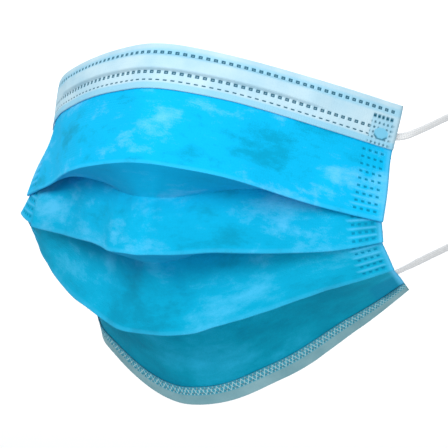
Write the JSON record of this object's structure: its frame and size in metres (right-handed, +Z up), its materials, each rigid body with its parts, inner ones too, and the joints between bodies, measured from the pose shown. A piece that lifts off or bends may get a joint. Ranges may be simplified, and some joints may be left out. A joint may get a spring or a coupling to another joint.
{
  "type": "surgical face mask",
  "caption": "Pleated face mask in its worn form, with bound top and bottom edges, a nose wire and ear loops.",
  "frame": {"origin": "middle of the top edge, where the mask sits on the bridge of the nose", "axes": "+X across the mask to the right as seen from the front, +Y from the front into the wearer's face, +Z up"},
  "size_m": [0.1518, 0.1397, 0.1285],
  "materials": {
    "blue_cloth": "matt spunbond non-woven with welded dots",
    "white_cloth": "matt spunbond non-woven with crimped dashes",
    "elastic": "flat knitted elastic",
    "wire": "plain flat strip"
  },
  "bodies": {
    "root": {"pleated_body": "blue_cloth", "top_binding": "white_cloth", "bottom_binding": "white_cloth", "nose_wire": "wire", "ear_loop_right": "elastic", "ear_loop_left": "elastic"}
  },
  "joints": []
}
